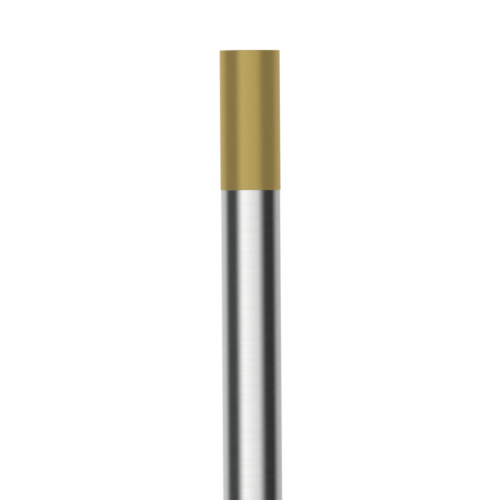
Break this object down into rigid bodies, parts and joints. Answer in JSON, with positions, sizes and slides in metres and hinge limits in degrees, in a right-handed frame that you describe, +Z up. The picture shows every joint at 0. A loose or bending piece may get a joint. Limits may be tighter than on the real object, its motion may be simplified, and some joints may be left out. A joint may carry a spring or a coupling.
{
  "type": "tig tungsten electrode",
  "caption": "Slim ground tungsten rod for a TIG torch, cut square at both ends, with a thin gold lacquer coat over one end that marks its alloy.",
  "frame": {"origin": "on the rod's axis, where the torch's collet grips the shank, 20 mm above the working end's face", "axes": "+Z runs up the rod's axis from the bare working end to the coated end; the rod is the same all round, so +X and +Y are any two directions square to it and to each other"},
  "size_m": [0.0024, 0.0024, 0.175],
  "materials": {
    "ground_tungsten": "polished",
    "gold_lacquer": "gloss"
  },
  "bodies": {
    "root": {"tungsten_rod": "ground_tungsten", "colour_mark": "gold_lacquer"}
  },
  "joints": []
}
